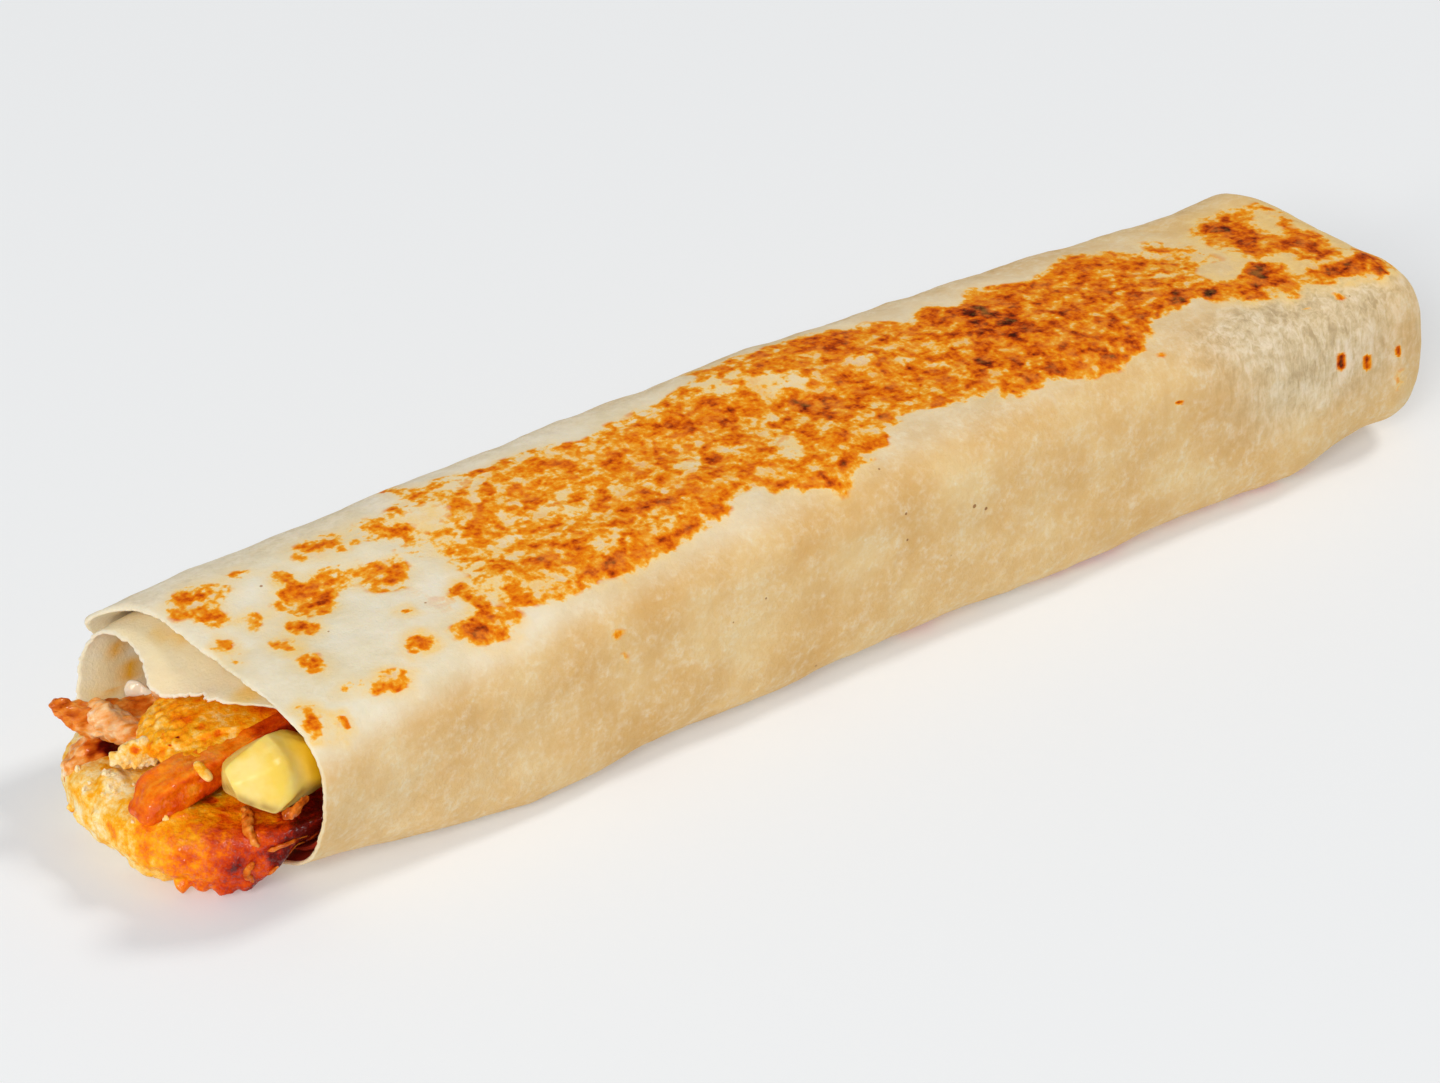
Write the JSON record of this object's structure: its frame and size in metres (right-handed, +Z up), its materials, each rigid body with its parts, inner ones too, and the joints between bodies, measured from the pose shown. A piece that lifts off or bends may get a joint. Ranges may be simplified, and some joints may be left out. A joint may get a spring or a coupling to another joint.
{
  "type": "shawarma wrap",
  "caption": "Long rolled and griddled flatbread wrap, open at the mouth where crisp chicken, meat strips, a potato chunk and a fry stand out, and folded shut at the far end.",
  "frame": {"origin": "middle of the bounding box's bottom, on the surface that the wrap lies on", "axes": "+X along the wrap from the open mouth to the folded end, +Y to the back side where the seam lies, +Z up"},
  "size_m": [0.2465, 0.06, 0.0373],
  "materials": {
    "flatbread": "thin unleavened wheat flatbread, griddled: dry, matte, cream with brown toasting",
    "crispy_chicken_lower": "fried breading on chicken, craggy, golden to deep orange, wet with oil and sauce",
    "crispy_chicken_upper": "fried breading on chicken, craggy, golden, lightly oiled",
    "fry_stick": "fried potato stick coated in orange sauce",
    "potato_chunk": "boiled or fried potato, smooth, buttery and slightly waxy",
    "meat_strip_outer": "roast chicken strip, browned and moist",
    "meat_strip_lower": "roast chicken strip, pink-orange and moist",
    "meat_strip_pink": "cooked chicken strip, pale, moist and slightly translucent",
    "pale_slice": "thin pale slice of cooked meat or onion, moist",
    "batter_flake": "loose flake of fried batter, dry and crumbly"
  },
  "bodies": {
    "root": {"flatbread": "flatbread", "crispy_chicken_lower": "crispy_chicken_lower", "crispy_chicken_upper": "crispy_chicken_upper", "fry_stick": "fry_stick", "potato_chunk": "potato_chunk", "meat_strip_outer": "meat_strip_outer", "meat_strip_lower": "meat_strip_lower", "meat_strip_pink": "meat_strip_pink", "pale_slice": "pale_slice", "batter_flake": "batter_flake"}
  },
  "joints": []
}
